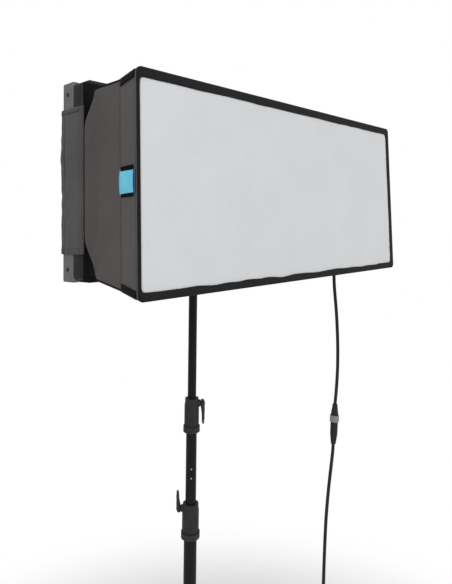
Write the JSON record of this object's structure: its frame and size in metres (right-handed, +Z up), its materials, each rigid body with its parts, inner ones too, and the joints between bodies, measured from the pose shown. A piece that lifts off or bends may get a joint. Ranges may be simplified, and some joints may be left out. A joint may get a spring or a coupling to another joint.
{
  "type": "studio softbox",
  "caption": "LED panel lamp with a tapered fabric softbox, on a tilting head and a telescopic light stand with folding tripod legs and a mains lead.",
  "frame": {"origin": "on the floor, under the middle of the tripod's footprint", "axes": "+Z up, the softbox faces -Y, +X along its width"},
  "size_m": [0.8754, 0.764, 1.687],
  "materials": {
    "black_tube": "black powder coat, satin",
    "dark_casting": "dark grey moulded nylon, fine grain",
    "black_plastic": "black moulded plastic, fine grain",
    "zinc_steel": "zinc plated",
    "black_steel": "black painted steel plate",
    "rubber": "black rubber",
    "bright_steel": "turned steel",
    "dark_aluminium": "dark grey anodised extrusion",
    "grey_plastic": "grey moulded plastic",
    "opal": "opal acrylic",
    "white_board": "white solder mask",
    "phosphor": "yellow phosphor",
    "bag_fabric": "brownish black coated nylon",
    "diffuser_cloth": "white woven diffusion cloth",
    "blue_webbing": "light blue webbing",
    "lead_jacket": "black rubber jacket",
    "grey_ring": "grey moulded plastic",
    "brass": "nickel plated brass"
  },
  "bodies": {
    "root": {"base_tube": "black_tube", "leg_hub": "dark_casting", "leg_hub_pins": "zinc_steel", "lower_collar": "dark_casting", "cable_lead": "lead_jacket", "cable_coil": "lead_jacket", "mains_plug": "black_plastic", "plug_pins": "brass"},
    "lower_clamp": {"lower_lever": "black_plastic"},
    "mid": {"mid_tube": "black_tube", "upper_collar": "dark_casting"},
    "upper_clamp": {"upper_lever": "black_plastic"},
    "riser": {"riser_tube": "black_tube", "riser_spigot": "bright_steel"},
    "receiver": {"receiver": "dark_casting", "coupler_body": "black_plastic", "coupler_ring": "grey_ring"},
    "receiver_screw": {"receiver_knob": "black_plastic"},
    "head": {"tilt_bracket": "black_steel", "tilt_bolt": "zinc_steel", "mounting_plate": "black_steel", "plate_screws": "zinc_steel", "lamp_tray": "dark_aluminium", "front_bezel": "dark_aluminium", "opal_plate": "opal", "led_board": "white_board", "led_strips": "phosphor", "driver_box": "zinc_steel", "end_cap_left": "grey_plastic", "end_cap_right": "grey_plastic", "control_panel": "black_plastic", "outlet_box": "black_plastic", "cable_gland": "rubber", "panel_top": "bag_fabric", "panel_bottom": "bag_fabric", "panel_left": "bag_fabric", "panel_right": "bag_fabric", "front_cloth": "diffuser_cloth", "rim_rods": "bright_steel", "rim_corners": "black_plastic", "side_struts": "bright_steel", "strut_hinges": "black_plastic", "pull_tabs": "blue_webbing", "end_flaps": "bag_fabric", "cable_tail": "lead_jacket"},
    "tilt_clamp": {"tilt_lever": "black_plastic"},
    "dimmer": {"dimmer_knob": "black_plastic"},
    "switch": {"power_switch": "black_plastic"},
    "leg_1": {"leg_1": "black_tube", "foot_1": "rubber"},
    "leg_2": {"leg_2": "black_tube", "foot_2": "rubber"},
    "leg_3": {"leg_3": "black_tube", "foot_3": "rubber"},
    "brace_1": {"brace_1": "black_steel"},
    "brace_2": {"brace_2": "black_steel"},
    "brace_3": {"brace_3": "black_steel"},
    "spreader": {"spreader_collar": "dark_casting"},
    "spreader_screw": {"spreader_knob": "black_plastic"}
  },
  "joints": [
    {"name": "mid_slide", "type": "slide", "parent": "root", "child": "mid", "axis": [0, 0, 1], "range_m": [-0.165, 0.31]},
    {"name": "riser_slide", "type": "slide", "parent": "mid", "child": "riser", "axis": [0, 0, 1], "range_m": [-0.377, 0.11], "deforming": ["cable_lead"]},
    {"name": "head_pan", "type": "hinge", "parent": "riser", "child": "receiver", "pos_m": [0, 0.12, 1.405], "axis": [0, 0, 1], "range_deg": [-60, 60]},
    {"name": "head_tilt", "type": "hinge", "parent": "receiver", "child": "head", "pos_m": [0, 0.12, 1.505], "axis": [-1, 0, 0], "range_deg": [-8, 85], "deforming": ["cable_tail"]},
    {"name": "lower_lever_turn", "type": "hinge", "parent": "root", "child": "lower_clamp", "pos_m": [0, 0.12, 0.763], "axis": [-0.682, 0.7314, 0], "range_deg": [0, 90]},
    {"name": "upper_lever_turn", "type": "hinge", "parent": "mid", "child": "upper_clamp", "pos_m": [0, 0.12, 1.006], "axis": [0.682, -0.7314, 0], "range_deg": [0, 90]},
    {"name": "receiver_knob_turn", "type": "hinge", "parent": "receiver", "child": "receiver_screw", "pos_m": [0, 0.15, 1.427], "axis": [0, 1, 0], "continuous": true},
    {"name": "tilt_lever_turn", "type": "hinge", "parent": "head", "child": "tilt_clamp", "pos_m": [0.028, 0.12, 1.505], "axis": [1, 0, 0], "range_deg": [0, 100]},
    {"name": "dimmer_turn", "type": "hinge", "parent": "head", "child": "dimmer", "pos_m": [0.286, 0.05755, 1.5074], "axis": [0, 0.9993, -0.0384], "range_deg": [0, 270]},
    {"name": "switch_rock", "type": "hinge", "parent": "head", "child": "switch", "pos_m": [0.208, 0.04256, 1.50798], "axis": [1, 0, 0], "range_deg": [0, 14]},
    {"name": "leg_1_fold", "type": "hinge", "parent": "root", "child": "leg_1", "pos_m": [0, 0.08, 0.50267], "axis": [1, 0, 0], "range_deg": [0, 38]},
    {"name": "leg_2_fold", "type": "hinge", "parent": "root", "child": "leg_2", "pos_m": [0.03464, 0.14, 0.50267], "axis": [-0.5, 0.866, 0], "range_deg": [0, 38]},
    {"name": "leg_3_fold", "type": "hinge", "parent": "root", "child": "leg_3", "pos_m": [-0.03464, 0.14, 0.50267], "axis": [-0.5, -0.866, 0], "range_deg": [0, 38]},
    {"name": "brace_1_fold", "type": "hinge", "parent": "leg_1", "child": "brace_1", "pos_m": [0, -0.05383, 0.35404], "axis": [1, 0, 0], "range_deg": [-76, 0]},
    {"name": "brace_2_fold", "type": "hinge", "parent": "leg_2", "child": "brace_2", "pos_m": [0.15054, 0.20691, 0.35404], "axis": [-0.5, 0.866, 0], "range_deg": [-76, 0]},
    {"name": "brace_3_fold", "type": "hinge", "parent": "leg_3", "child": "brace_3", "pos_m": [-0.15054, 0.20691, 0.35404], "axis": [-0.5, -0.866, 0], "range_deg": [-76, 0]},
    {"name": "spreader_fold", "type": "hinge", "parent": "brace_1", "child": "spreader", "pos_m": [0, 0.08, 0.20541], "axis": [1, 0, 0], "range_deg": [0, 38]},
    {"name": "spreader_knob_turn", "type": "hinge", "parent": "spreader", "child": "spreader_screw", "pos_m": [0, 0.16, 0.20541], "axis": [0, 1, 0], "continuous": true}
  ],
  "couplings": [
    {"joint": "leg_2_fold", "follows": "leg_1_fold", "ratio": 1},
    {"joint": "leg_3_fold", "follows": "leg_1_fold", "ratio": 1},
    {"joint": "brace_1_fold", "follows": "leg_1_fold", "ratio": -2},
    {"joint": "brace_2_fold", "follows": "leg_1_fold", "ratio": -2},
    {"joint": "brace_3_fold", "follows": "leg_1_fold", "ratio": -2},
    {"joint": "spreader_fold", "follows": "leg_1_fold", "ratio": 1}
  ]
}
